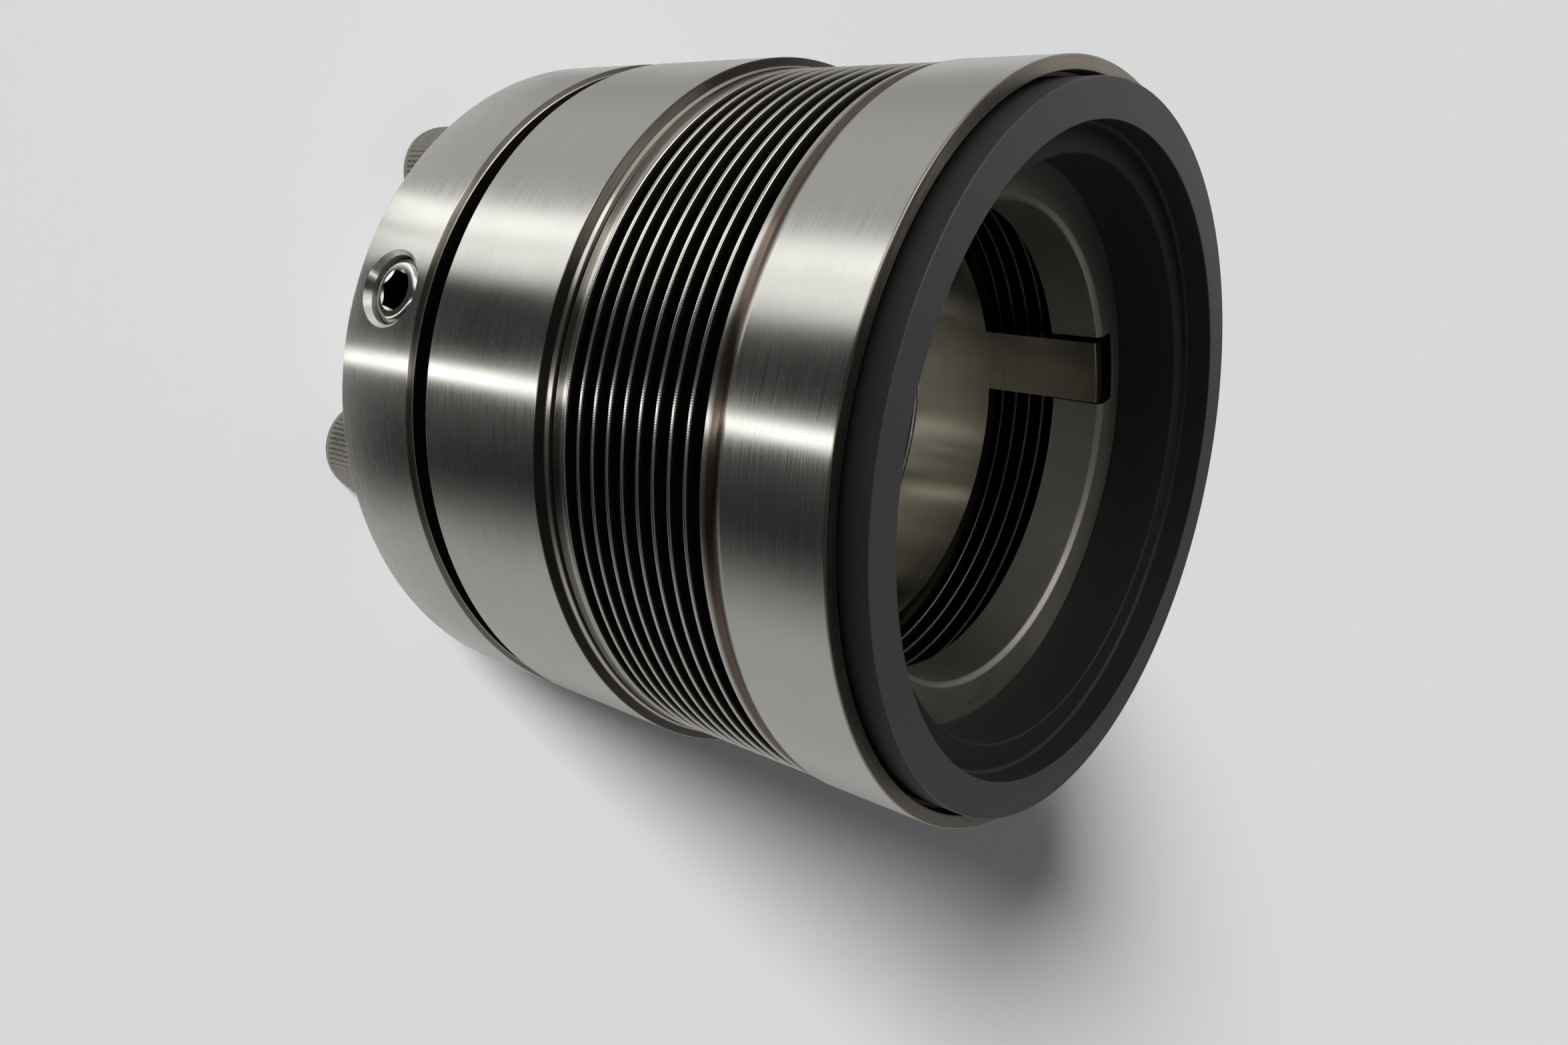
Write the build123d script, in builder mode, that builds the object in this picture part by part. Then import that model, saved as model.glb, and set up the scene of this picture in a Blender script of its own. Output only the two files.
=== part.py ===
from build123d import *
from math import cos, radians, sin
import os

# Rotating metal-bellows shaft seal, in millimetres.
# The shaft axis is +Z, towards the seal face. The seal stands on the heads of its cap screws, and
# the origin is on that plane, on the shaft axis.

# Shaft and drive sleeve
shaft_diameter = 38.0
bore_clearance = 0.05
sleeve_wall = 2.1
sleeve_seat_depth = 1.45
sleeve_front_gap = 3.7
fit_clearance = 0.02
lug_count = 2
lug_width = 5.8
lug_angle = 125.0
lug_setback = 0.3

# Seal ring
notch_clearance = 0.35
notch_corner_radius = 0.8
flange_land = 1.68
ring_step_width = 2.35
face_width = 2.94
ring_height = 7.8
ring_counterbore_depth = 2.35
ring_protrusion = 2.2

# Face shell
flange_thickness = 4.96
flange_bore_clearance = 0.6
flange_bevel = 0.4
relief_gap = 0.41
relief_depth = 1.6
rim_width = 1.12
shell_lip_length = 0.25
shell_groove_depth = 0.45
shell_groove_width = 0.6
shell_shoulder_length = 1.0

# Bellows
convolution_count = 9
convolution_pitch = 1.515
bellows_inset = 0.15
bellows_sleeve_gap = 0.75
weld_bead_width = 0.44
outer_weld_depth = 0.6
inner_weld_depth = 0.5
end_weld_width = 0.55
bellows_travel = 3.0

# Rear adapter
adapter_step = 0.8
adapter_body_length = 13.3
adapter_taper_length = 0.75
adapter_groove_length = 0.25
adapter_groove_depth = 0.3
adapter_land_length = 1.1

# Packing and clamp collar
packing_section = 3.3
packing_clearance = 0.05
pocket_depth = 7.0
nose_entry = 0.8
nose_clearance = 0.15
gland_gap = 2.2
closed_gland_gap = 0.4
collar_length = 9.8
collar_edge_break = 0.4

# Cap screws, M5
cap_screw_count = 6
cap_screw_angle = 0.0
cap_thread_diameter = 5.0
cap_head_diameter = 8.5
cap_head_height = 5.0
cap_head_edge_margin = 0.55
cap_hole_clearance = 0.25
cap_socket_width = 4.0
cap_socket_depth = 2.5
thread_engagement = 8.0
thread_clearance = 0.05
tapped_hole_spare = 1.2

# Set screws, M6
set_screw_count = 3
set_screw_angle = -90.0
set_thread_diameter = 6.0
set_screw_recess = 0.8
set_screw_tip_clearance = 0.95
set_socket_width = 3.0
set_socket_depth = 3.5
set_hole_countersink = 0.6

# Radii, worked out from the shaft outwards
bore_radius = shaft_diameter / 2 + bore_clearance
sleeve_radius = bore_radius + sleeve_wall
notch_radius = sleeve_radius + notch_clearance
notch_width = lug_width + 2 * notch_clearance
flange_bore_radius = bore_radius + flange_bore_clearance
ring_bore_radius = notch_radius + flange_land
face_inner_radius = ring_bore_radius + ring_step_width
ring_radius = face_inner_radius + face_width
pocket_radius = ring_radius + fit_clearance
relief_radius = ring_radius + relief_gap
shell_radius = relief_radius + rim_width
bellows_radius = shell_radius - bellows_inset
bellows_bore_radius = sleeve_radius + bellows_sleeve_gap
adapter_radius = shell_radius + adapter_step
packing_radius = bore_radius + packing_section
packing_pocket_radius = packing_radius + packing_clearance
nose_radius = packing_pocket_radius - nose_clearance
cap_circle_radius = adapter_radius - cap_head_edge_margin - cap_head_diameter / 2

# Heights, worked out from the cap screw heads upwards
collar_rear_z = cap_head_height
collar_front_z = collar_rear_z + collar_length
adapter_rear_z = collar_front_z + gland_gap
nose_end_z = adapter_rear_z + nose_entry
packing_floor_z = adapter_rear_z + pocket_depth
taper_z = adapter_rear_z + adapter_body_length
adapter_groove_z = taper_z + adapter_taper_length
adapter_land_z = adapter_groove_z + adapter_groove_length
adapter_front_z = adapter_land_z + adapter_land_length
sleeve_rear_z = adapter_front_z - sleeve_seat_depth
bellows_length = convolution_count * convolution_pitch
shell_rear_z = adapter_front_z + bellows_length
shell_groove_z = shell_rear_z + shell_lip_length + shell_groove_width
shell_body_z = shell_groove_z + shell_shoulder_length
ring_seat_z = shell_rear_z + flange_thickness
face_z = ring_seat_z + ring_height
rim_z = face_z - ring_protrusion
sleeve_front_z = shell_rear_z - bellows_travel - sleeve_front_gap
lug_tip_z = ring_seat_z - lug_setback
gland_travel = gland_gap - closed_gland_gap
tapped_hole_end_z = adapter_rear_z + thread_engagement + gland_travel + tapped_hole_spare
set_screw_z = (collar_rear_z + collar_front_z) / 2

os.makedirs("parts", exist_ok=True)


def polar_point(radius, angle):
    return (radius * cos(radians(angle)), radius * sin(radians(angle)))


def outward_plane(angle, height):
    # The plane lies on the shaft axis and faces straight out at the given angle
    direction = (cos(radians(angle)), sin(radians(angle)), 0)
    return Plane(origin=(0, 0, height), x_dir=(0, 0, 1), z_dir=direction)


def save(piece, name):
    piece.label = name
    export_step(piece, f"parts/{name}.step")


# Seal ring: lapped front face, short counterbore and deep bore
with BuildPart() as seal_ring:
    with BuildSketch(Plane.XZ):
        with BuildLine():
            Polyline(
                (ring_bore_radius, ring_seat_z),
                (ring_radius, ring_seat_z),
                (ring_radius, face_z),
                (face_inner_radius, face_z),
                (face_inner_radius, face_z - ring_counterbore_depth),
                (ring_bore_radius, face_z - ring_counterbore_depth),
                close=True,
            )
        make_face()
    revolve(axis=Axis.Z)
save(seal_ring.part, "seal_ring")

# Face shell: pocket for the ring, notched inner flange, weld groove and lip at the rear
with BuildPart() as face_shell:
    with BuildSketch(Plane.XZ):
        with BuildLine():
            Polyline(
                (flange_bore_radius, shell_rear_z),
                (bellows_radius, shell_rear_z),
                (bellows_radius, shell_rear_z + shell_lip_length),
                (shell_radius - shell_groove_depth, shell_groove_z),
                (shell_radius, shell_body_z),
                (shell_radius, rim_z),
                (relief_radius, rim_z),
                (relief_radius, rim_z - relief_depth),
                (pocket_radius, rim_z - relief_depth),
                (pocket_radius, ring_seat_z),
                (flange_bore_radius + flange_bevel, ring_seat_z),
                (flange_bore_radius, ring_seat_z - flange_bevel),
                close=True,
            )
        make_face()
    revolve(axis=Axis.Z)
    with BuildSketch(Plane.XY.offset(shell_rear_z)):
        with PolarLocations(notch_radius / 2, lug_count, start_angle=lug_angle):
            RectangleRounded(notch_radius, notch_width, notch_corner_radius)
    extrude(amount=flange_thickness, mode=Mode.SUBTRACT)
save(face_shell.part, "face_shell")

# Bellows: coned diaphragms welded in turn at their outer and inner edges
outer_edge = []
inner_edge = []
for index in range(convolution_count):
    weld_z = adapter_front_z + index * convolution_pitch
    root_z = weld_z + convolution_pitch / 2
    next_weld_z = weld_z + convolution_pitch
    outer_edge.append((bellows_radius, weld_z + weld_bead_width / 2))
    outer_edge.append((bellows_bore_radius + inner_weld_depth, root_z))
    outer_edge.append((bellows_radius, next_weld_z - weld_bead_width / 2))
    if index > 0:
        inner_edge.append((bellows_radius - outer_weld_depth, weld_z))
    inner_edge.append((bellows_bore_radius, root_z - weld_bead_width / 2))
    inner_edge.append((bellows_bore_radius, root_z + weld_bead_width / 2))
with BuildPart() as bellows:
    with BuildSketch(Plane.XZ):
        with BuildLine():
            Polyline(
                (bellows_radius - end_weld_width, adapter_front_z),
                (bellows_radius, adapter_front_z),
                *outer_edge,
                (bellows_radius, shell_rear_z),
                (bellows_radius - end_weld_width, shell_rear_z),
                *reversed(inner_edge),
                close=True,
            )
        make_face()
    revolve(axis=Axis.Z)
save(bellows.part, "bellows")

# Drive sleeve: tube pressed into the adapter, with lugs that reach into the shell's notches
with BuildPart() as drive_sleeve:
    with BuildSketch(Plane.XY.offset(sleeve_rear_z)):
        Circle(sleeve_radius)
        Circle(bore_radius, mode=Mode.SUBTRACT)
    extrude(amount=sleeve_front_z - sleeve_rear_z)
    with BuildSketch(Plane.XY.offset(sleeve_front_z)):
        Circle(sleeve_radius)
        Circle(bore_radius, mode=Mode.SUBTRACT)
        with PolarLocations(sleeve_radius / 2, lug_count, start_angle=lug_angle):
            Rectangle(sleeve_radius, lug_width, mode=Mode.INTERSECT)
    extrude(amount=lug_tip_z - sleeve_front_z)
save(drive_sleeve.part, "drive_sleeve")

# Rear adapter: weld land and taper at the front, packing pocket and tapped holes at the rear
with BuildPart() as rear_adapter:
    with BuildSketch(Plane.XZ):
        with BuildLine():
            Polyline(
                (packing_pocket_radius, adapter_rear_z),
                (adapter_radius, adapter_rear_z),
                (adapter_radius, taper_z),
                (bellows_radius, adapter_groove_z),
                (bellows_radius - adapter_groove_depth, adapter_land_z),
                (bellows_radius, adapter_land_z),
                (bellows_radius, adapter_front_z),
                (sleeve_radius + fit_clearance, adapter_front_z),
                (sleeve_radius + fit_clearance, sleeve_rear_z),
                (bore_radius, sleeve_rear_z),
                (bore_radius, packing_floor_z),
                (packing_pocket_radius, packing_floor_z),
                close=True,
            )
        make_face()
    revolve(axis=Axis.Z)
    with BuildSketch(Plane.XY.offset(adapter_rear_z)):
        with PolarLocations(cap_circle_radius, cap_screw_count, start_angle=cap_screw_angle):
            Circle(cap_thread_diameter / 2 + thread_clearance)
    extrude(amount=tapped_hole_end_z - adapter_rear_z, mode=Mode.SUBTRACT)
save(rear_adapter.part, "rear_adapter")

# Packing ring: soft graphite ring between the pocket floor and the collar's nose
with BuildPart() as packing_ring:
    with BuildSketch(Plane.XY.offset(nose_end_z)):
        Circle(packing_radius)
        Circle(bore_radius, mode=Mode.SUBTRACT)
    extrude(amount=packing_floor_z - nose_end_z)
save(packing_ring.part, "packing_ring")

# Clamp collar: nose that presses the packing, clearance holes and radial tapped holes
with BuildPart() as clamp_collar:
    with BuildSketch(Plane.XZ):
        with BuildLine():
            Polyline(
                (bore_radius, collar_rear_z),
                (adapter_radius, collar_rear_z),
                (adapter_radius, collar_front_z - collar_edge_break),
                (adapter_radius - collar_edge_break, collar_front_z),
                (nose_radius, collar_front_z),
                (nose_radius, nose_end_z),
                (bore_radius, nose_end_z),
                close=True,
            )
        make_face()
    revolve(axis=Axis.Z)
    with BuildSketch(Plane.XY.offset(collar_rear_z)):
        with PolarLocations(cap_circle_radius, cap_screw_count, start_angle=cap_screw_angle):
            Circle(cap_thread_diameter / 2 + cap_hole_clearance)
    extrude(amount=collar_length, mode=Mode.SUBTRACT)
    for index in range(set_screw_count):
        angle = set_screw_angle + index * 360 / set_screw_count
        with BuildSketch(outward_plane(angle, set_screw_z)):
            Circle(set_thread_diameter / 2)
        extrude(amount=adapter_radius, mode=Mode.SUBTRACT)
        mouth_plane = outward_plane(angle, set_screw_z).offset(adapter_radius - set_hole_countersink)
        with BuildSketch(mouth_plane):
            Circle(set_thread_diameter / 2)
        with BuildSketch(mouth_plane.offset(set_hole_countersink)):
            Circle(set_thread_diameter / 2 + set_hole_countersink)
        loft(mode=Mode.SUBTRACT)
save(clamp_collar.part, "clamp_collar")

# Cap screws: heads on the collar's rear face, shanks through the collar into the adapter
for index in range(cap_screw_count):
    angle = cap_screw_angle + index * 360 / cap_screw_count
    screw_x, screw_y = polar_point(cap_circle_radius, angle)
    screw_plane = Plane(origin=(screw_x, screw_y, 0))
    with BuildPart() as cap_screw:
        with BuildSketch(screw_plane):
            Circle(cap_head_diameter / 2)
        extrude(amount=cap_head_height)
        with BuildSketch(screw_plane.offset(cap_head_height)):
            Circle(cap_thread_diameter / 2)
        extrude(amount=collar_length + gland_gap + thread_engagement)
        with BuildSketch(screw_plane):
            RegularPolygon(cap_socket_width / 2, 6, major_radius=False)
        extrude(amount=cap_socket_depth, mode=Mode.SUBTRACT)
    save(cap_screw.part, f"cap_screw_{index + 1}")

# Set screws: hex-socket screws just under the collar's surface, clear of the bore
set_screw_outer_radius = adapter_radius - set_screw_recess
set_screw_inner_radius = bore_radius + set_screw_tip_clearance
for index in range(set_screw_count):
    angle = set_screw_angle + index * 360 / set_screw_count
    tip_plane = outward_plane(angle, set_screw_z).offset(set_screw_inner_radius)
    socket_plane = outward_plane(angle, set_screw_z).offset(set_screw_outer_radius)
    with BuildPart() as set_screw:
        with BuildSketch(tip_plane):
            Circle(set_thread_diameter / 2 - thread_clearance)
        extrude(amount=set_screw_outer_radius - set_screw_inner_radius)
        with BuildSketch(socket_plane):
            RegularPolygon(set_socket_width / 2, 6, major_radius=False)
        extrude(amount=-set_socket_depth, mode=Mode.SUBTRACT)
    save(set_screw.part, f"set_screw_{index + 1}")
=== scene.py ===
from math import atan2, cos, pi, radians, sin, tau

import bpy
from mathutils import Matrix, Vector


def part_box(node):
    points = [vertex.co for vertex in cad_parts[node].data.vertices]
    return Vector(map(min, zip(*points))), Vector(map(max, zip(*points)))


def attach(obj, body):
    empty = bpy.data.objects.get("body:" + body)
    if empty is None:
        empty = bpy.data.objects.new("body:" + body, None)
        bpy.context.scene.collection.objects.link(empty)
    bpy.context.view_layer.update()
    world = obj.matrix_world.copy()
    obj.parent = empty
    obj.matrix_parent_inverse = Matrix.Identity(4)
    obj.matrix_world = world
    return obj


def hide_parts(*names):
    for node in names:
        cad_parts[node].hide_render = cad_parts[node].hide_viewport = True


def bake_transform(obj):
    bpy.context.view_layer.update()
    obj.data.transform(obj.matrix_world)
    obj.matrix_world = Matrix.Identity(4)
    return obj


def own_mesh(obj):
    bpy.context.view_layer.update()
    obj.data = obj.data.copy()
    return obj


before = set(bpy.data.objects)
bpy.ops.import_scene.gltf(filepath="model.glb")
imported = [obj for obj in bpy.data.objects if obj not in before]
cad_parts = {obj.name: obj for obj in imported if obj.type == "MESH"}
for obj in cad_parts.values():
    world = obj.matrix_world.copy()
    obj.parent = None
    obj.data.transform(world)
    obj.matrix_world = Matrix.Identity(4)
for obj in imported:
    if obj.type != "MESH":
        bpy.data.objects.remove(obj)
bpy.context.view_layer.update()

# Sizes in metres. Heights run up the shaft axis from the plane that the cap screw heads stand on.
mm = 0.001
shaft_axis = (0, 0, 1)
lathe_steps, bellows_steps = 288, 240
collar_rear_z, collar_front_z = 5.0 * mm, 14.8 * mm
collar_nose_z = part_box("packing_ring")[0].z
packing_floor_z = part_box("packing_ring")[1].z
adapter_rear_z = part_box("rear_adapter")[0].z
adapter_front_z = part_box("rear_adapter")[1].z
sleeve_rear_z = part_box("drive_sleeve")[0].z
sleeve_front_z = 39.335 * mm
lug_tip_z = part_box("drive_sleeve")[1].z
shell_rear_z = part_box("face_shell")[0].z
rim_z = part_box("face_shell")[1].z
ring_seat_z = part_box("seal_ring")[0].z
face_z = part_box("seal_ring")[1].z
counterbore_z = face_z - 2.35 * mm

bore_radius = 19.05 * mm
sleeve_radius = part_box("drive_sleeve")[1].x
sleeve_seat_radius = sleeve_radius + 0.02 * mm
bellows_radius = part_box("bellows")[1].x
bellows_bore_radius = 21.9 * mm
adapter_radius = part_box("rear_adapter")[1].x
shell_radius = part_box("face_shell")[1].x
packing_pocket_radius = 22.4 * mm
packing_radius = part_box("packing_ring")[1].x
nose_radius = 22.25 * mm
ring_bore_radius, face_inner_radius = 23.18 * mm, 25.53 * mm
ring_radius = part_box("seal_ring")[1].x
ring_pocket_radius, relief_radius, relief_depth = 28.49 * mm, 28.88 * mm, 1.6 * mm
flange_bore_radius, notch_radius = 19.65 * mm, 21.5 * mm

lug_angle, lug_width, notch_width = 125, 5.8 * mm, 6.5 * mm
lug_radius = 20.2 * mm
cap_circle_radius, cap_head_radius, cap_thread_radius = 26.0 * mm, 4.25 * mm, 2.5 * mm
knurl_depth, knurl_teeth = 0.22 * mm, 54
set_screw_z, set_screw_radius, set_hole_radius = 9.9 * mm, 2.95 * mm, 3.0 * mm
set_screw_inner, set_screw_length = 20.0 * mm, 10.3 * mm
cap_screw_angles = [0, 60, 120, 180, 240, 300]
set_screw_angles = [-90, 30, 150]

fold_count = 9
fold_pitch = (shell_rear_z - adapter_front_z) / fold_count
leaf_thickness, weld_bead_radius = 0.16 * mm, 0.175 * mm

# Pattern sizes: the lathe's feed and the weld's pulses are about the real ones. The lapping marks and the grain of
# the carbon and graphite are finer on the real seal, and are drawn as coarse as they need to show.
lathe_feed, lathe_streak = 0.08 * mm, 6 * mm
lapping_feed, lapping_streak = 0.35 * mm, 14 * mm
handling_cloud, weld_ripple, weld_width = 11 * mm, 0.19 * mm, 0.3 * mm
carbon_grain, graphite_flake, screw_scuff = 0.25 * mm, 0.5 * mm, 0.9 * mm


def hex_colour(code):
    channels = [int(code[i : i + 2], 16) / 255 for i in (1, 3, 5)]
    linear = [c / 12.92 if c <= 0.04045 else ((c + 0.055) / 1.055) ** 2.4 for c in channels]
    return (*linear, 1)


def add_node(tree, kind, settings=None, **inputs):
    # Sets properties first, then fills each named or numbered input with a value or a link
    node = tree.nodes.new("ShaderNode" + kind)
    for key, value in (settings or {}).items():
        setattr(node, key, value)
    for key, value in inputs.items():
        numbered = key[0] == "i" and key[1:].isdigit()
        socket = node.inputs[int(key[1:]) if numbered else key.replace("_", " ")]
        if isinstance(value, bpy.types.NodeSocket):
            tree.links.new(value, socket)
        else:
            socket.default_value = value
    return node


def new_material(name):
    material = bpy.data.materials.new(name)
    material.use_nodes = True
    tree = material.node_tree
    tree.nodes.clear()
    return material, tree


def around_shaft(tree):
    # Object coordinates, their parts, and the distance from the shaft's axis
    coordinates = add_node(tree, "TexCoord")
    split = add_node(tree, "SeparateXYZ", i0=coordinates.outputs["Object"])
    flat = add_node(tree, "CombineXYZ", i0=split.outputs[0], i1=split.outputs[1])
    radius = add_node(tree, "VectorMath", {"operation": "LENGTH"}, i0=flat.outputs[0])
    return coordinates.outputs["Object"], split, radius.outputs["Value"]


def lathe_marks(tree, coordinates, split, radius, feed, streak):
    # Noise drawn out round the shaft: fine across the marks and long along them
    across = add_node(tree, "Math", {"operation": "ADD"}, i0=radius, i1=split.outputs[2])
    fine = add_node(tree, "Math", {"operation": "MULTIPLY"}, i0=across.outputs[0], i1=1 / feed)
    along = add_node(tree, "VectorMath", {"operation": "SCALE"}, i0=coordinates, Scale=1 / streak)
    along_split = add_node(tree, "SeparateXYZ", i0=along.outputs[0])
    stretched = add_node(
        tree, "CombineXYZ", i0=along_split.outputs[0], i1=along_split.outputs[1], i2=fine.outputs[0]
    )
    return add_node(tree, "TexNoise", i0=stretched.outputs[0], Scale=1.0, Detail=3.0, Roughness=0.65)


def turned_stainless(name, base="#D1D0CA", low="#BCBBB4", rough=(0.2, 0.34), drawn=0.92, tints=(), bump=0.18):
    # Stainless steel faced on a lathe: satin, with marks round the shaft that draw highlights out along it. Each
    # tint is a band of weld heat: its height, its half width, and its straw and brown oxide colours.
    material, tree = new_material(name)
    coordinates, split, radius = around_shaft(tree)
    marks = lathe_marks(tree, coordinates, split, radius, lathe_feed, lathe_streak)
    cloud = add_node(tree, "TexNoise", i0=coordinates, Scale=1 / handling_cloud, Detail=4.0, Roughness=0.6)
    colour = add_node(
        tree, "Mix", {"data_type": "RGBA"}, i0=marks.outputs[0], i6=hex_colour(low), i7=hex_colour(base)
    ).outputs[2]
    for height, half_width, straw, brown in tints:
        away = add_node(tree, "Math", {"operation": "SUBTRACT"}, i0=split.outputs[2], i1=height)
        distance = add_node(tree, "Math", {"operation": "ABSOLUTE"}, i0=away.outputs[0])
        ragged = add_node(
            tree,
            "Math",
            {"operation": "MULTIPLY_ADD"},
            i0=cloud.outputs[0],
            i1=0.4 * half_width,
            i2=distance.outputs[0],
        )
        heat = add_node(
            tree, "MapRange", i0=ragged.outputs[0], i1=1.25 * half_width, i2=0.85 * half_width, i3=0.0, i4=1.0
        )
        oxide = add_node(
            tree, "Mix", {"data_type": "RGBA"}, i0=heat.outputs[0], i6=hex_colour(straw), i7=hex_colour(brown)
        )
        colour = add_node(
            tree, "Mix", {"data_type": "RGBA"}, i0=heat.outputs[0], i6=colour, i7=oxide.outputs[2]
        ).outputs[2]
    # The marks and the handled patches change the gloss from place to place
    roughness = add_node(tree, "MapRange", i0=marks.outputs[0], i1=0.3, i2=0.7, i3=rough[0], i4=rough[1])
    handled = add_node(tree, "MapRange", i0=cloud.outputs[0], i1=0.35, i2=0.75, i3=-0.04, i4=0.06)
    satin = add_node(tree, "Math", {"operation": "ADD"}, i0=roughness.outputs[0], i1=handled.outputs[0])
    grooves = add_node(tree, "Bump", Strength=bump, Distance=0.004 * mm, Height=marks.outputs[0])
    tangent = add_node(tree, "Tangent", {"direction_type": "RADIAL", "axis": "Z"})
    steel = add_node(
        tree,
        "BsdfPrincipled",
        Base_Color=colour,
        Metallic=1.0,
        Roughness=satin.outputs[0],
        Anisotropic=drawn,
        Anisotropic_Rotation=0.25,
        Tangent=tangent.outputs[0],
        Normal=grooves.outputs[0],
    )
    add_node(tree, "OutputMaterial", Surface=steel.outputs[0])
    return material


def welded_diaphragm(name):
    # Thin cold-rolled stainless strip, dull in the folds, with bright rippled beads at both weld edges. The folds'
    # colour is painted near black as shade in the folds, and the inner beads are painted dimmer as shade inside the
    # bore
    material, tree = new_material(name)
    _, split, radius = around_shaft(tree)
    bead_fade = 0.16 * mm
    outer, inner = [
        add_node(tree, "MapRange", i0=radius, i1=edge - side * weld_width, i2=edge - side * bead_fade, i3=0.0, i4=1.0)
        for edge, side in ((bellows_radius, 1), (bellows_bore_radius, -1))
    ]
    # The inner beads get only a quarter of the bead colour: painted shade inside the bore
    inner_bead_painted_dim = add_node(tree, "Math", {"operation": "MULTIPLY"}, i0=inner.outputs[0], i1=0.25)
    bead = add_node(tree, "Math", {"operation": "MAXIMUM"}, i0=outer.outputs[0], i1=inner_bead_painted_dim.outputs[0])
    # Dark colour: painted shade in the folds; light colour: the beads' own bright steel
    colour = add_node(
        tree, "Mix", {"data_type": "RGBA"}, i0=bead.outputs[0], i6=hex_colour("#3A3632"), i7=hex_colour("#C6C2BB")
    )
    roughness = add_node(tree, "MapRange", i0=bead.outputs[0], i1=0.0, i2=1.0, i3=0.5, i4=0.16)
    # Each pulse of the weld leaves a ripple
    angle = add_node(tree, "Math", {"operation": "ARCTAN2"}, i0=split.outputs[1], i1=split.outputs[0])
    pulses = bellows_radius * tau / weld_ripple
    phase = add_node(tree, "Math", {"operation": "MULTIPLY"}, i0=angle.outputs[0], i1=pulses)
    ripple = add_node(tree, "Math", {"operation": "SINE"}, i0=phase.outputs[0])
    ridges = add_node(tree, "Math", {"operation": "MULTIPLY"}, i0=ripple.outputs[0], i1=bead.outputs[0])
    relief = add_node(tree, "Bump", Strength=0.2, Distance=0.004 * mm, Height=ridges.outputs[0])
    steel = add_node(
        tree,
        "BsdfPrincipled",
        Base_Color=colour.outputs[2],
        Metallic=1.0,
        Roughness=roughness.outputs[0],
        Normal=relief.outputs[0],
    )
    add_node(tree, "OutputMaterial", Surface=steel.outputs[0])
    return material


def lapped_carbon(name):
    # Resin-bonded carbon: near black and matt on turned sides, greyer and silkier on the lapped face
    material, tree = new_material(name)
    coordinates, split, radius = around_shaft(tree)
    marks = lathe_marks(tree, coordinates, split, radius, lapping_feed, lapping_streak)
    lapped = add_node(
        tree, "MapRange", i0=split.outputs[2], i1=face_z - 0.12 * mm, i2=face_z - 0.04 * mm, i3=0.0, i4=1.0
    )
    grain = add_node(tree, "TexNoise", i0=coordinates, Scale=1 / carbon_grain, Detail=3.0, Roughness=0.7)
    side = add_node(
        tree, "Mix", {"data_type": "RGBA"}, i0=grain.outputs[0], i6=hex_colour("#161717"), i7=hex_colour("#222221")
    )
    face = add_node(
        tree, "Mix", {"data_type": "RGBA"}, i0=grain.outputs[0], i6=hex_colour("#494A48"), i7=hex_colour("#585956")
    )
    colour = add_node(
        tree, "Mix", {"data_type": "RGBA"}, i0=lapped.outputs[0], i6=side.outputs[2], i7=face.outputs[2]
    )
    roughness = add_node(tree, "MapRange", i0=lapped.outputs[0], i1=0.0, i2=1.0, i3=0.62, i4=0.42)
    relief = add_node(tree, "Bump", Strength=0.12, Distance=0.02 * mm, Height=marks.outputs[0])
    carbon = add_node(
        tree,
        "BsdfPrincipled",
        Base_Color=colour.outputs[2],
        Metallic=0.0,
        Roughness=roughness.outputs[0],
        Normal=relief.outputs[0],
    )
    add_node(tree, "OutputMaterial", Surface=carbon.outputs[0])
    return material


def pressed_graphite(name):
    # Flexible graphite tape pressed into a ring: grey-black flakes with a faint sheen
    material, tree = new_material(name)
    coordinates = add_node(tree, "TexCoord").outputs["Object"]
    flakes = add_node(tree, "TexNoise", i0=coordinates, Scale=1 / graphite_flake, Detail=5.0, Roughness=0.7)
    colour = add_node(
        tree, "Mix", {"data_type": "RGBA"}, i0=flakes.outputs[0], i6=hex_colour("#1C1D1F"), i7=hex_colour("#3A3B3E")
    )
    relief = add_node(tree, "Bump", Strength=0.4, Distance=0.05 * mm, Height=flakes.outputs[0])
    graphite = add_node(
        tree, "BsdfPrincipled", Base_Color=colour.outputs[2], Roughness=0.48, Metallic=0.0, Normal=relief.outputs[0]
    )
    add_node(tree, "OutputMaterial", Surface=graphite.outputs[0])
    return material


def rolled_fastener_steel(name, base, worn, roughness):
    # Stainless screws formed cold: smooth, with small handling scuffs that dull the gloss in patches
    material, tree = new_material(name)
    coordinates = add_node(tree, "TexCoord").outputs["Object"]
    scuffs = add_node(tree, "TexNoise", i0=coordinates, Scale=1 / screw_scuff, Detail=5.0, Roughness=0.7)
    colour = add_node(
        tree, "Mix", {"data_type": "RGBA"}, i0=scuffs.outputs[0], i6=hex_colour(worn), i7=hex_colour(base)
    )
    rough = add_node(
        tree, "MapRange", i0=scuffs.outputs[0], i1=0.3, i2=0.7, i3=roughness * 0.75, i4=roughness * 1.3
    )
    relief = add_node(tree, "Bump", Strength=0.15, Distance=0.03 * mm, Height=scuffs.outputs[0])
    steel = add_node(
        tree,
        "BsdfPrincipled",
        Base_Color=colour.outputs[2],
        Metallic=1.0,
        Roughness=rough.outputs[0],
        Normal=relief.outputs[0],
    )
    add_node(tree, "OutputMaterial", Surface=steel.outputs[0])
    return material


def deselect():
    if bpy.context.object and bpy.context.object.mode != "OBJECT":
        bpy.ops.object.mode_set(mode="OBJECT")
    bpy.ops.object.select_all(action="DESELECT")


def make_active(piece):
    deselect()
    piece.select_set(True)
    bpy.context.view_layer.objects.active = piece


def select_points(piece, wanted):
    # Selects the vertices that pass the test, with the piece in edit mode before and after
    bpy.ops.object.mode_set(mode="OBJECT")
    for point in piece.data.vertices:
        point.select = wanted(point.co)
    for edge in piece.data.edges:
        edge.select = all(piece.data.vertices[i].select for i in edge.vertices)
    for face in piece.data.polygons:
        face.select = all(piece.data.vertices[i].select for i in face.vertices)
    bpy.ops.object.mode_set(mode="EDIT")


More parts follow.
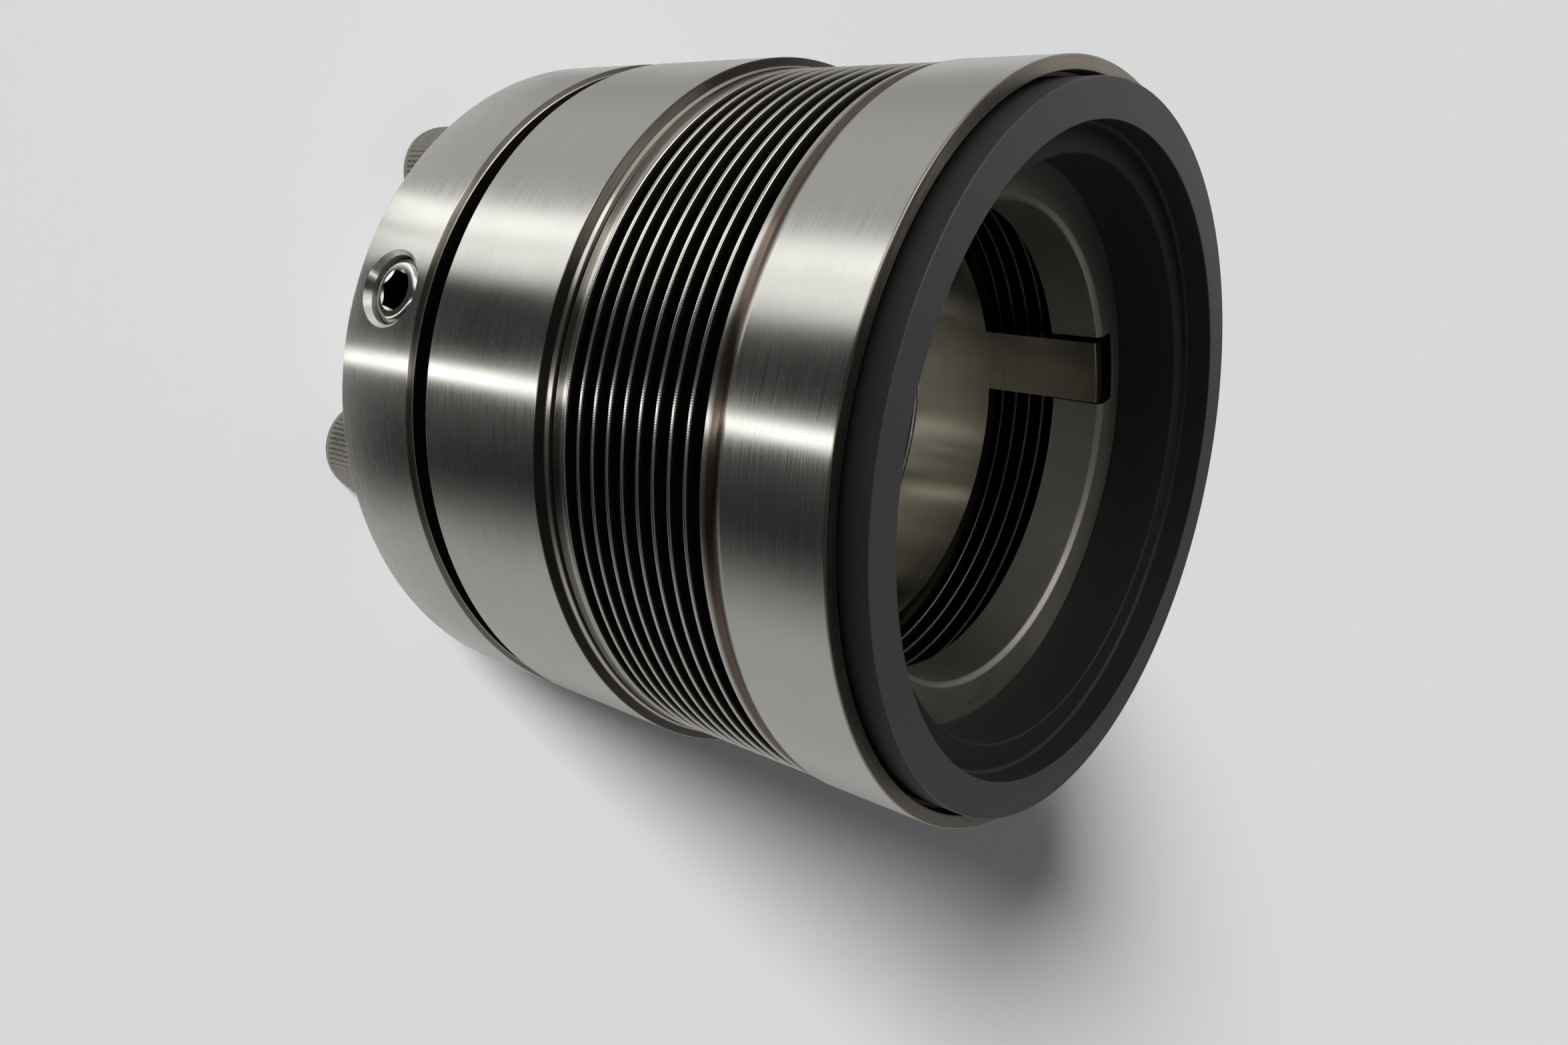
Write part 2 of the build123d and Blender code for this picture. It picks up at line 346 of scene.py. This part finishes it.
def draw_section(name, corners, closed=True):
    # One point is drawn from corner to corner of (radius, height, edge break) in the XZ plane
    deselect()
    bpy.ops.mesh.primitive_plane_add(size=mm)
    piece = bpy.context.object
    piece.name = name
    bpy.ops.object.mode_set(mode="EDIT")
    bpy.ops.mesh.select_mode(type="VERT")
    bpy.ops.mesh.merge(type="CENTER")
    bpy.ops.transform.translate(value=(corners[0][0], 0, corners[0][1]))
    for start, end in zip(corners, corners[1:]):
        step = (end[0] - start[0], 0, end[1] - start[1])
        bpy.ops.mesh.extrude_region_move(TRANSFORM_OT_translate={"value": step})
    if closed:
        ends = [Vector((corners[i][0], 0, corners[i][1])) for i in (0, -1)]
        select_points(piece, lambda co: min((co - end).length for end in ends) < 1e-6)
        bpy.ops.mesh.edge_face_add()
    for radius, height, edge_break in corners:
        if edge_break:
            corner = Vector((radius, 0, height))
            select_points(piece, lambda co: (co - corner).length < 1e-6)
            bpy.ops.mesh.bevel(offset=edge_break, segments=3, affect="VERTICES")
    return piece


def spin_section(piece, steps):
    bpy.ops.mesh.select_all(action="SELECT")
    bpy.ops.mesh.spin(steps=steps, angle=tau, center=(0, 0, 0), axis=shaft_axis)
    bpy.ops.mesh.select_all(action="SELECT")
    bpy.ops.mesh.remove_doubles(threshold=1e-6)
    bpy.ops.mesh.normals_make_consistent(inside=False)
    bpy.ops.object.mode_set(mode="OBJECT")
    return piece


def turned(name, corners, steps=lathe_steps):
    return spin_section(draw_section(name, corners), steps)


def apply_modifier(piece, kind, **settings):
    make_active(piece)
    modifier = piece.modifiers.new(kind.title(), kind)
    for key, value in settings.items():
        setattr(modifier, key, value)
    bpy.ops.object.modifier_apply(modifier=modifier.name)


def cut(piece, cutter, operation="DIFFERENCE"):
    apply_modifier(piece, "BOOLEAN", operation=operation, object=cutter, solver="EXACT")
    bpy.data.objects.remove(cutter)


def smooth(piece, angle=32):
    make_active(piece)
    bpy.ops.object.shade_smooth_by_angle(angle=radians(angle))
    apply_modifier(piece, "WEIGHTED_NORMAL", mode="FACE_AREA", keep_sharp=True)


def dress(piece, materials, body, slot, *nodes):
    for material in materials:
        piece.data.materials.append(material)
    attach(piece, body)
    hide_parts(*nodes)


def off_axis(point):
    return Vector((point.x, point.y)).length


def mark_faces(piece, index, wanted):
    # The faces whose middle passes the test take the piece's material of that number
    for face in piece.data.polygons:
        if wanted(face.center):
            face.material_index = index


def place(piece, matrix):
    # Moves the mesh itself, so that the object stays at the origin
    piece.matrix_world = matrix
    make_active(piece)
    bpy.ops.object.transform_apply(location=True, rotation=True, scale=True)


def copy_of(piece, name, matrix):
    # The copy has a mesh of its own, moved to its place
    copied = piece.copy()
    copied.data = piece.data.copy()
    copied.name = name
    bpy.context.scene.collection.objects.link(copied)
    place(copied, matrix)
    return copied


def on_cap_circle(angle):
    return Matrix.Rotation(radians(angle), 4, "Z") @ Matrix.Translation((cap_circle_radius, 0, 0))


def outward(angle, radius, height):
    # Turns +Z to point straight out of the shaft axis at the angle
    turn = Matrix.Rotation(radians(angle), 4, "Z") @ Matrix.Rotation(radians(90), 4, "Y")
    centre = Vector((radius * cos(radians(angle)), radius * sin(radians(angle)), height))
    return Matrix.Translation(centre) @ turn


def cylinder(name, radius, bottom, top, vertices=64, end_radius=None):
    deselect()
    bpy.ops.mesh.primitive_cone_add(
        vertices=vertices,
        radius1=radius,
        radius2=radius if end_radius is None else end_radius,
        depth=top - bottom,
        location=(0, 0, (top + bottom) / 2),
    )
    piece = bpy.context.object
    piece.name = name
    bpy.ops.object.transform_apply(location=True, rotation=True, scale=True)
    return piece


def long_block(name, width, bottom, top, angle, length=60 * mm):
    deselect()
    bpy.ops.mesh.primitive_cube_add(size=1)
    piece = bpy.context.object
    piece.name = name
    turn = Matrix.Rotation(radians(angle), 4, "Z") @ Matrix.Diagonal((length, width, top - bottom, 1))
    place(piece, Matrix.Translation((0, 0, (top + bottom) / 2)) @ turn)
    return piece


def make_seal_ring():
    ring = turned(
        "lapped_seal_ring",
        [
            (ring_bore_radius, ring_seat_z, 0.2 * mm),
            (ring_radius, ring_seat_z, 0.2 * mm),
            (ring_radius, face_z, 0.1 * mm),
            (face_inner_radius, face_z, 0.06 * mm),
            (face_inner_radius, counterbore_z, 0.35 * mm),
            (ring_bore_radius, counterbore_z, 0.15 * mm),
        ],
    )
    smooth(ring)
    return ring


def make_face_shell():
    # A weld lip and a sloped shoulder lead up to the barrel. Inside, a relief gap runs round the seal ring's pocket.
    groove_z = shell_rear_z + 0.85 * mm
    relief_floor_z = rim_z - relief_depth
    flange_bevel = 0.4 * mm
    shell = turned(
        "turned_face_shell",
        [
            (flange_bore_radius, shell_rear_z, 0.12 * mm),
            (bellows_radius, shell_rear_z, 0),
            (bellows_radius, shell_rear_z + 0.25 * mm, 0.08 * mm),
            (shell_radius - 0.45 * mm, groove_z, 0.1 * mm),
            (shell_radius, groove_z + 1.0 * mm, 0.08 * mm),
            (shell_radius, rim_z, 0.12 * mm),
            (relief_radius, rim_z, 0.1 * mm),
            (relief_radius, relief_floor_z, 0.1 * mm),
            (ring_pocket_radius, relief_floor_z, 0.05 * mm),
            (ring_pocket_radius, ring_seat_z, 0),
            (flange_bore_radius + flange_bevel, ring_seat_z, 0.1 * mm),
            (flange_bore_radius, ring_seat_z - flange_bevel, 0.1 * mm),
        ],
    )
    below, above = shell_rear_z - mm, ring_seat_z + mm
    notches = cylinder("notch_reach", notch_radius, below, above, 192)
    cut(notches, long_block("notch_sides", notch_width, below, above, lug_angle), "INTERSECT")
    apply_modifier(notches, "BEVEL", width=0.7 * mm, segments=4, limit_method="ANGLE", angle_limit=radians(60))
    cut(shell, notches)
    smooth(shell)
    mark_faces(shell, 1, lambda co: off_axis(co) < relief_radius + 0.1 * mm)
    # The notches' cut walls take the third material, whose dark colour is painted shade
    across = Vector((-sin(radians(lug_angle)), cos(radians(lug_angle)), 0))
    mark_faces(
        shell,
        2,
        lambda co: abs(co.dot(across)) < notch_width / 2 + 0.02 * mm
        and off_axis(co) < notch_radius + 0.05 * mm
        and shell_rear_z + 0.01 * mm < co.z < ring_seat_z - 0.01 * mm,
    )
    return shell


def make_drive_sleeve():
    # The tube is cut away between two opposite lugs, which are thinner than the tube
    sleeve = turned(
        "lugged_drive_sleeve",
        [
            (bore_radius, sleeve_rear_z, 0.15 * mm),
            (sleeve_radius, sleeve_rear_z, 0.15 * mm),
            (sleeve_radius, sleeve_front_z + 0.3 * mm, 0),
            (lug_radius, sleeve_front_z + 1.3 * mm, 0),
            (lug_radius, lug_tip_z, 0.12 * mm),
            (bore_radius, lug_tip_z, 0.12 * mm),
        ],
    )
    waste = cylinder("sleeve_waste", sleeve_radius + mm, sleeve_front_z, lug_tip_z + mm, 96)
    cut(waste, long_block("lug_sides", lug_width, sleeve_front_z - mm, lug_tip_z + 2 * mm, lug_angle))
    cut(sleeve, waste)
    smooth(sleeve)
    return sleeve


def make_rear_adapter():
    # The barrel steps down through two small grooves to the weld land under the bellows
    adapter = turned(
        "turned_rear_adapter",
        [
            (packing_pocket_radius, adapter_rear_z, 0.15 * mm),
            (adapter_radius, adapter_rear_z, 0.18 * mm),
            (adapter_radius, adapter_front_z - 2.1 * mm, 0.12 * mm),
            (bellows_radius + 0.25 * mm, adapter_front_z - 1.78 * mm, 0.1 * mm),
            (bellows_radius + 0.1 * mm, adapter_front_z - 1.4 * mm, 0.08 * mm),
            (bellows_radius - 0.3 * mm, adapter_front_z - 1.22 * mm, 0.05 * mm),
            (bellows_radius, adapter_front_z - 1.1 * mm, 0.06 * mm),
            (bellows_radius, adapter_front_z, 0),
            (sleeve_seat_radius, adapter_front_z, 0.12 * mm),
            (sleeve_seat_radius, sleeve_rear_z, 0),
            (bore_radius, sleeve_rear_z, 0.12 * mm),
            (bore_radius, packing_floor_z, 0.12 * mm),
            (packing_pocket_radius, packing_floor_z, 0),
        ],
    )
    hole_top, mouth_top = adapter_rear_z + 11 * mm, adapter_rear_z + 0.4 * mm
    hole_radius, mouth_radius = cap_thread_radius + 0.05 * mm, cap_thread_radius + 0.45 * mm
    for angle in cap_screw_angles:
        hole = cylinder("tapped_hole", hole_radius, adapter_rear_z - mm, hole_top, 48)
        mouth = cylinder("hole_mouth", mouth_radius, adapter_rear_z, mouth_top, 48, cap_thread_radius)
        for cutter in (hole, mouth):
            place(cutter, on_cap_circle(angle))
            cut(adapter, cutter)
    smooth(adapter)
    # The rear face across the gap from the collar takes the second material, painted dark as shade
    mark_faces(adapter, 1, lambda co: co.z < adapter_rear_z + 0.01 * mm)
    return adapter


def make_clamp_collar():
    # The nose reaches into the adapter's pocket, and the holes let the cap screws and the set screws through
    collar = turned(
        "turned_clamp_collar",
        [
            (bore_radius, collar_rear_z, 0.25 * mm),
            (adapter_radius, collar_rear_z, 0.25 * mm),
            (adapter_radius, collar_front_z - 0.4 * mm, 0.06 * mm),
            (adapter_radius - 0.4 * mm, collar_front_z, 0.06 * mm),
            (nose_radius, collar_front_z, 0.2 * mm),
            (nose_radius, collar_nose_z, 0.15 * mm),
            (bore_radius, collar_nose_z, 0.15 * mm),
        ],
    )
    for angle in cap_screw_angles:
        hole = cylinder("clearance_hole", cap_thread_radius + 0.25 * mm, collar_rear_z - mm, collar_front_z + mm, 48)
        place(hole, on_cap_circle(angle))
        cut(collar, hole)
    hole_start, hole_length = 18 * mm, 14 * mm
    mouth_depth, mouth_inner_radius, mouth_outer_radius = 0.6 * mm, 2.9 * mm, 3.68 * mm
    for angle in set_screw_angles:
        hole = cylinder("set_screw_hole", set_hole_radius, 0, hole_length, 96)
        place(hole, outward(angle, hole_start, set_screw_z))
        cut(collar, hole)
        mouth = cylinder("set_screw_mouth", mouth_inner_radius, -mouth_depth, 0.1 * mm, 96, mouth_outer_radius)
        place(mouth, outward(angle, adapter_radius, set_screw_z))
        cut(collar, mouth)
    smooth(collar)
    # The front face and nose across the gap from the adapter take the second material, painted dark as shade
    mark_faces(collar, 1, lambda co: co.z > collar_front_z - 0.01 * mm)
    return collar


def make_packing_ring():
    ring = turned(
        "pressed_packing_ring",
        [
            (bore_radius, collar_nose_z, 0.3 * mm),
            (packing_radius, collar_nose_z, 0.2 * mm),
            (packing_radius, packing_floor_z, 0.2 * mm),
            (bore_radius, packing_floor_z, 0.3 * mm),
        ],
    )
    smooth(ring)
    return ring


def make_bellows():
    # One fold runs in from an outer weld to an inner weld and out again, and is repeated up the axis
    leaf_radius = bellows_radius - leaf_thickness / 2
    root_radius = bellows_bore_radius + leaf_thickness / 2
    edge_turn = weld_bead_radius - leaf_thickness / 2
    half = fold_pitch / 2
    span = leaf_radius - root_radius - 2 * edge_turn
    inward_leaf = [
        (leaf_radius, 0),
        (leaf_radius - 0.3 * edge_turn, 0.72 * edge_turn),
        (leaf_radius - edge_turn, edge_turn),
        (leaf_radius - edge_turn - 0.25 * span, 0.30 * half),
        (leaf_radius - edge_turn - 0.50 * span, 0.50 * half),
        (leaf_radius - edge_turn - 0.75 * span, 0.70 * half),
        (root_radius + edge_turn, half - edge_turn),
        (root_radius + 0.3 * edge_turn, half - 0.72 * edge_turn),
        (root_radius, half),
    ]
    fold = inward_leaf + [(r, fold_pitch - z) for r, z in reversed(inward_leaf[:-1])]
    bellows = draw_section("welded_bellows", [(r, adapter_front_z + z, 0) for r, z in fold], closed=False)
    bpy.ops.object.mode_set(mode="OBJECT")
    apply_modifier(
        bellows,
        "ARRAY",
        count=fold_count,
        use_relative_offset=False,
        use_constant_offset=True,
        constant_offset_displace=(0, 0, fold_pitch),
        use_merge_vertices=True,
        merge_threshold=1e-6,
    )
    bpy.ops.object.mode_set(mode="EDIT")
    spin_section(bellows, bellows_steps)
    apply_modifier(bellows, "SOLIDIFY", thickness=leaf_thickness, offset=0)
    smooth(bellows, 50)
    return bellows


def hex_pocket(name, width, depth, top, mouth_reach):
    # The socket's flats meet a shallow cone at its mouth
    socket = cylinder(name, width / 2 / cos(pi / 6), top - depth, top + 0.5 * mm, 6)
    mouth = cylinder(name + "_mouth", width * 0.44, top - 0.25 * mm, top + 0.05 * mm, 48, width * mouth_reach)
    return socket, mouth


def make_cap_screw():
    # Modelled standing on its head. Every second edge of the side goes out and the others go in, which makes the
    # knurl, and it stops short of the rounded edge.
    blank_radius = cap_head_radius - 0.12 * mm
    plain_top, knurl_start = 0.75 * mm, 0.95 * mm
    socket_width, socket_depth, shank_end = 4.0 * mm, 2.5 * mm, 25.0 * mm
    head = cylinder("cap_screw", blank_radius, 0, collar_rear_z, 2 * knurl_teeth)
    bpy.ops.object.mode_set(mode="EDIT")
    bpy.ops.mesh.select_mode(type="VERT")
    for height in (plain_top, knurl_start):
        bpy.ops.mesh.select_all(action="SELECT")
        bpy.ops.mesh.bisect(plane_co=(0, 0, height), plane_no=(0, 0, 1))
    for crest, radius in ((1, cap_head_radius), (0, cap_head_radius - knurl_depth)):
        select_points(
            head,
            lambda co: co.z > knurl_start - 0.05 * mm and round(atan2(co.y, co.x) * knurl_teeth / pi) % 2 == crest,
        )
        grown = radius / blank_radius
        bpy.ops.transform.resize(value=(grown, grown, 1), center_override=(0, 0, 0))
    select_points(head, lambda co: co.z < 1e-6)
    bpy.ops.mesh.bevel(offset=0.45 * mm, segments=4, affect="EDGES")
    bpy.ops.object.mode_set(mode="OBJECT")
    shank = cylinder("cap_screw_shank", cap_thread_radius, collar_rear_z - 0.2 * mm, shank_end, 48)
    for cutter in hex_pocket("cap_socket", socket_width, socket_depth, 0, mouth_reach=0.66):
        place(cutter, Matrix.Rotation(pi, 4, "X"))
        cut(head, cutter)
    cut(head, shank, "UNION")
    smooth(head, 25)
    # The socket's walls take the second material, painted dark as shade
    mark_faces(head, 1, lambda co: off_axis(co) < 2.25 * mm and 0.3 * mm < co.z < 4 * mm)
    return head


def make_set_screw():
    # Modelled along +Z with its socket end at the top, then laid into its hole
    length, core_radius = set_screw_length, 0.9 * mm
    socket_width, socket_depth = 3.15 * mm, 3.5 * mm
    screw = turned(
        "set_screw",
        [
            (core_radius, 0, 0),
            (set_screw_radius - 0.9 * mm, 0, 0.05 * mm),
            (set_screw_radius - 0.05 * mm, 0.85 * mm, 0.05 * mm),
            (set_screw_radius - 0.02 * mm, length - 0.6 * mm, 0.25 * mm),
            (set_screw_radius - 0.6 * mm, length, 0.2 * mm),
            (core_radius, length, 0),
        ],
        96,
    )
    core = cylinder("set_screw_core", core_radius + 0.3 * mm, 0.05 * mm, length - 0.05 * mm, 48)
    cut(screw, core, "UNION")
    for cutter in hex_pocket("set_socket", socket_width, socket_depth, length, mouth_reach=0.6):
        cut(screw, cutter)
    smooth(screw, 30)
    # The socket's walls take the second material, painted dark as shade
    mark_faces(screw, 1, lambda co: off_axis(co) < 1.85 * mm and mm < co.z < length - 0.12 * mm)
    return screw


# Weld heat leaves straw and brown oxide beside the bellows' end welds, and a paler straw on turned edges
heat_straw, heat_brown = "#918A78", "#4A423A"
# The barrels: satin steel whose bands of light run straight along the seal
shell_steel = turned_stainless(
    "turned_stainless_shell",
    tints=[
        (shell_rear_z + 0.95 * mm, 0.76 * mm, heat_straw, "#6C6056"),
        (rim_z, 0.18 * mm, "#A39D90", "#979185"),
    ],
)
adapter_steel = turned_stainless(
    "turned_stainless_adapter",
    tints=[
        (adapter_front_z - 1.93 * mm, 0.25 * mm, "#77726A", "#45403A"),
        (adapter_front_z - 1.24 * mm, 0.24 * mm, heat_straw, heat_brown),
        (adapter_front_z - 0.65 * mm, 0.42 * mm, "#A5A199", "#8A867E"),
    ],
)
collar_steel = turned_stainless(
    "turned_stainless_collar", tints=[(collar_front_z - 0.22 * mm, 0.2 * mm, heat_straw, "#777065")]
)
# The shell's inner flange: a duller, softly lit face
flange_steel = turned_stainless("faced_stainless_flange", "#A8A49B", "#9C988E", (0.46, 0.54), 0.3, bump=0.04)
# The drive sleeve: a smoother, warmer bore with sharper bands of light down its wall
sleeve_steel = turned_stainless("turned_stainless_sleeve", "#B5AE9E", "#A29C8D", (0.13, 0.2), 0.95, bump=0.07)
# The cut walls of the notches: dull, and painted near black as the shade in the notches, so that the lugs stand off
# them in the dark
notch_painted_shade_steel = turned_stainless("notch_wall_painted_shade", "#3A3733", "#2E2B28", (0.45, 0.55), 0.0, bump=0.05)
# The faces across the gap at the packing: painted dark as the shade in the gap between them
gap_painted_shade_steel = turned_stainless("gap_face_painted_shade", "#4A4743", "#3A3835", (0.4, 0.5), 0.0, bump=0.05)
# The bellows: fine bright beads, with painted shade darkening the folds between them and the inner beads
bellows_steel = welded_diaphragm("welded_strip_painted_fold_shade")
# The seal ring: matt and near black, with a greyer face that takes a soft sheen
carbon = lapped_carbon("lapped_carbon_graphite")
# The packing ring: grey-black and flaky
graphite = pressed_graphite("pressed_flexible_graphite")
# The cap screws: greyer than the turned steel, so that the knurl shows
cap_steel = rolled_fastener_steel("cold_headed_stainless", "#A29E95", "#726E67", 0.3)
# The set screws: bright rounded ends that catch the light round their sockets
polished_steel = rolled_fastener_steel("polished_stainless", "#E2E0DB", "#B8B5AE", 0.16)
# The hexagon sockets' walls: rough, and painted near black as the shade deep in the sockets
socket_painted_shade_steel = rolled_fastener_steel("socket_wall_painted_shade", "#2B2A28", "#1F1E1D", 0.5)

dress(make_seal_ring(), [carbon], "face_shell", "seal_ring_carbon", "seal_ring")
dress(make_face_shell(), [shell_steel, flange_steel, notch_painted_shade_steel], "face_shell", "stainless_steel", "face_shell")
dress(make_drive_sleeve(), [sleeve_steel], "rear_adapter", "stainless_steel", "drive_sleeve")
dress(make_rear_adapter(), [adapter_steel, gap_painted_shade_steel], "rear_adapter", "stainless_steel", "rear_adapter")
dress(make_clamp_collar(), [collar_steel, gap_painted_shade_steel], "clamp_collar", "stainless_steel", "clamp_collar")

bellows = make_bellows()
bellows.data.materials.append(bellows_steel)
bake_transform(bellows)
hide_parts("bellows")

# Each screw stands at a turn of its own, as tightening leaves it
cap_screw = make_cap_screw()
for index, angle in enumerate(cap_screw_angles):
    own_turn = Matrix.Rotation(radians(37 * index), 4, "Z")
    screw = copy_of(cap_screw, f"knurled_cap_screw_{index + 1}", on_cap_circle(angle) @ own_turn)
    dress(screw, [cap_steel, socket_painted_shade_steel], "clamp_collar", "screw_steel", f"cap_screw_{index + 1}")
bpy.data.objects.remove(cap_screw)

set_screw = make_set_screw()
for index, angle in enumerate(set_screw_angles):
    own_turn = Matrix.Rotation(radians(20 + 41 * index), 4, "Z")
    in_hole = outward(angle, set_screw_inner, set_screw_z)
    screw = copy_of(set_screw, f"socket_set_screw_{index + 1}", in_hole @ own_turn)
    dress(screw, [polished_steel, socket_painted_shade_steel], f"set_screw_{index + 1}", "screw_steel", f"set_screw_{index + 1}")
bpy.data.objects.remove(set_screw)

# The packing ring fills its pocket from the collar's nose to the pocket floor, pressed thin by the closed gland
packing = make_packing_ring()
dress(packing, [graphite], "clamp_collar", "graphite_packing", "packing_ring")
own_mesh(packing)

# Pale matt floor, which fills the view
deselect()
bpy.ops.mesh.primitive_plane_add(size=16, location=(0, 0, -0.02 * mm))
floor = bpy.context.object
floor.name = "floor"
floor_material, floor_tree = new_material("pale_matt_sheet")
floor_matt = add_node(floor_tree, "BsdfDiffuse", Color=hex_colour("#DADBDB"))
add_node(floor_tree, "OutputMaterial", Surface=floor_matt.outputs[0])
floor.data.materials.append(floor_material)

# White, grey and black cards ring the seal on the floor, and show only as bands in its metal. Each stop is
# the way that a barrel sends the view out, in degrees from the camera's side, and how bright the card is there.
camera_side = -81.6
card_stops = [
    (-180, 0.12), (-171, 0.55), (-138, 0.70), (-131, 0.48), (-126, 0.38), (-112, 0.42), (-100, 0.52), (-88, 0.54),
    (-54.5, 0.52), (-52.3, 0.70), (-49.3, 1.85), (-42, 1.80), (-38.5, 0.90), (-36, 1.55), (-28.5, 1.05), (-23.5, 0.05),
    (-3.5, 0.04), (1.5, 0.25), (3, 0.80), (5, 2.80), (7.3, 3.20), (8.6, 0.90), (10, 0.08), (31.5, 0.03), (37, 0.03),
    (43, 0.06), (49, 0.15), (57, 0.33), (67, 0.50), (130, 0.52), (150, 0.34), (166, 0.14),
]
card_peak = max(level for way, level in card_stops)
card_inner, card_spread, card_height = 34 * mm, 15, 350 * mm
deselect()
bpy.ops.mesh.primitive_circle_add(vertices=180, radius=card_inner, location=(0, 0, 0.1 * mm))
cards = bpy.context.object
cards.name = "reflection_cards"
bpy.ops.object.mode_set(mode="EDIT")
bpy.ops.mesh.extrude_edges_move()
bpy.ops.transform.resize(value=(card_spread, card_spread, 1))
bpy.ops.mesh.extrude_edges_move(TRANSFORM_OT_translate={"value": (0, 0, card_height)})
bpy.ops.object.mode_set(mode="OBJECT")
card_material, card_tree = new_material("studio_card")
_, card_place, card_reach = around_shaft(card_tree)
card_angle = add_node(card_tree, "Math", {"operation": "ARCTAN2"}, i0=card_place.outputs[1], i1=card_place.outputs[0])
# Nearer the barrel the same way out meets the floor at a smaller turn, so the bands stay straight up the barrel
card_near = add_node(card_tree, "Math", {"operation": "DIVIDE"}, i0=adapter_radius, i1=card_reach)
card_share = add_node(card_tree, "Math", {"operation": "MULTIPLY_ADD"}, i0=card_near.outputs[0], i1=-0.5, i2=1.0)
card_side = add_node(card_tree, "Math", {"operation": "SUBTRACT"}, i0=card_angle.outputs[0], i1=radians(camera_side))
card_wrap = add_node(card_tree, "Math", {"operation": "WRAP"}, i0=card_side.outputs[0], i1=pi, i2=-pi)
card_way = add_node(card_tree, "Math", {"operation": "DIVIDE"}, i0=card_wrap.outputs[0], i1=card_share.outputs[0])
card_turn = add_node(card_tree, "MapRange", i0=card_way.outputs[0], i1=-pi, i2=pi)
card_ramp = add_node(card_tree, "ValToRGB", i0=card_turn.outputs[0])
stops = card_ramp.color_ramp.elements
stops.remove(stops[1])
stops[0].color = [card_stops[0][1] / card_peak] * 3 + [1]
for way, level in card_stops[1:]:
    stops.new((way + 180) / 360).color = [level / card_peak] * 3 + [1]
card_glow = add_node(card_tree, "Emission", Color=card_ramp.outputs[0], Strength=card_peak)
add_node(card_tree, "OutputMaterial", Surface=card_glow.outputs[0])
cards.data.materials.append(card_material)

# Two white cards under the bore put the bright bands down its wall. Each is its middle, its way along and its
# length and width, in millimetres and degrees.
white_material, white_tree = new_material("white_card")
white_glow = add_node(white_tree, "Emission", Color=hex_colour("#FFFFFF"), Strength=10.0)
add_node(white_tree, "OutputMaterial", Surface=white_glow.outputs[0])
bore_cards = []
for x, y, way, length, width in [(9, 2.3, 41, 9, 2.2), (1.5, -6.5, 112, 9, 0.5)]:
    deselect()
    bpy.ops.mesh.primitive_plane_add(size=mm, location=(x * mm, y * mm, 0.1 * mm), rotation=(0, 0, radians(way)))
    bpy.ops.transform.resize(value=(length, width, 1), orient_type="LOCAL")
    bore_cards.append(bpy.context.object)
    bore_cards[-1].name = f"bore_card_{len(bore_cards)}"
    bore_cards[-1].data.materials.append(white_material)

for card in (cards, *bore_cards):
    for ray in ("camera", "diffuse", "transmission", "volume_scatter", "shadow"):
        setattr(card, f"visible_{ray}", False)


def from_side(azimuth, elevation):
    a, e = radians(azimuth), radians(elevation)
    return Vector((cos(a) * cos(e), sin(a) * cos(e), sin(e)))


def add_lamp(name, kind, azimuth, elevation, power):
    # The lamp stands on this side of the shaft and shines back towards it
    lamp = bpy.data.lights.new(name, kind)
    lamp.energy = power
    holder = bpy.data.objects.new(name, lamp)
    bpy.context.scene.collection.objects.link(holder)
    holder.rotation_euler = from_side(azimuth, elevation).to_track_quat("Z", "Y").to_euler()
    return holder


def light_only(lamp, name, pieces, state="INCLUDE"):
    # The lamp lights only these pieces, or all but these
    chosen = bpy.data.collections.new(name)
    for piece in pieces:
        chosen.objects.link(piece)
    for chosen_piece in chosen.collection_objects:
        chosen_piece.light_linking.link_state = state
    lamp.light_linking.receiver_collection = chosen


# A soft box lights the seal from above its far side, but for the sleeve, whose bore it would wash out
overhead_side, overhead_height, overhead_reach = -170, 52, 1.3
overhead = add_lamp("overhead_softbox", "AREA", overhead_side, overhead_height, power=5)
overhead.data.size = 0.8
overhead.location = Vector((0, 0, 30 * mm)) + overhead_reach * from_side(overhead_side, overhead_height)
light_only(overhead, "dark_to_overhead", [floor, bpy.data.objects["lugged_drive_sleeve"]], "EXCLUDE")

# A low, wide light for the floor alone, which lays the seal's long soft shadow on it
floor_light = add_lamp("floor_light", "SUN", azimuth=-111, elevation=14, power=10.9)
floor_light.data.angle = radians(18)
light_only(floor_light, "floor_only", [floor])

# Grey room, darker overhead
world = bpy.data.worlds.new("studio")
world.use_nodes = True
bpy.context.scene.world = world
sky = world.node_tree
sky_way = add_node(sky, "SeparateXYZ", i0=add_node(sky, "TexCoord").outputs["Generated"])
wall_level, ceiling_level, ceiling_from = 0.35, 0.1, 0.7
sky_level = add_node(
    sky, "MapRange", i0=sky_way.outputs[2], i1=0.0, i2=ceiling_from, i3=wall_level, i4=ceiling_level
)
sky.links.new(sky_level.outputs[0], sky.nodes["Background"].inputs["Strength"])
sky.nodes["Background"].inputs["Color"].default_value = hex_colour("#FBFBFF")

# The camera looks at the seal's face from in front, with the shaft lying across the picture
camera_data = bpy.data.cameras.new("camera")
camera_data.sensor_width = 36
camera_data.lens = 27.94
camera_data.clip_start = 0.005
camera = bpy.data.objects.new("camera", camera_data)
bpy.context.scene.collection.objects.link(camera)
camera_right = Vector((-0.25866, 0.57955, 0.77281))
camera_up = Vector((-0.96554, -0.17896, -0.18896))
camera_back = Vector((0.02879, -0.79506, 0.60586))
camera_place = Vector((0.01312, -0.08799, 0.09910))
camera_turn = Matrix((camera_right, camera_up, camera_back)).transposed().to_4x4()
camera.matrix_world = Matrix.Translation(camera_place) @ camera_turn
bpy.context.scene.camera = camera
bpy.context.scene.view_settings.view_transform = "Standard"
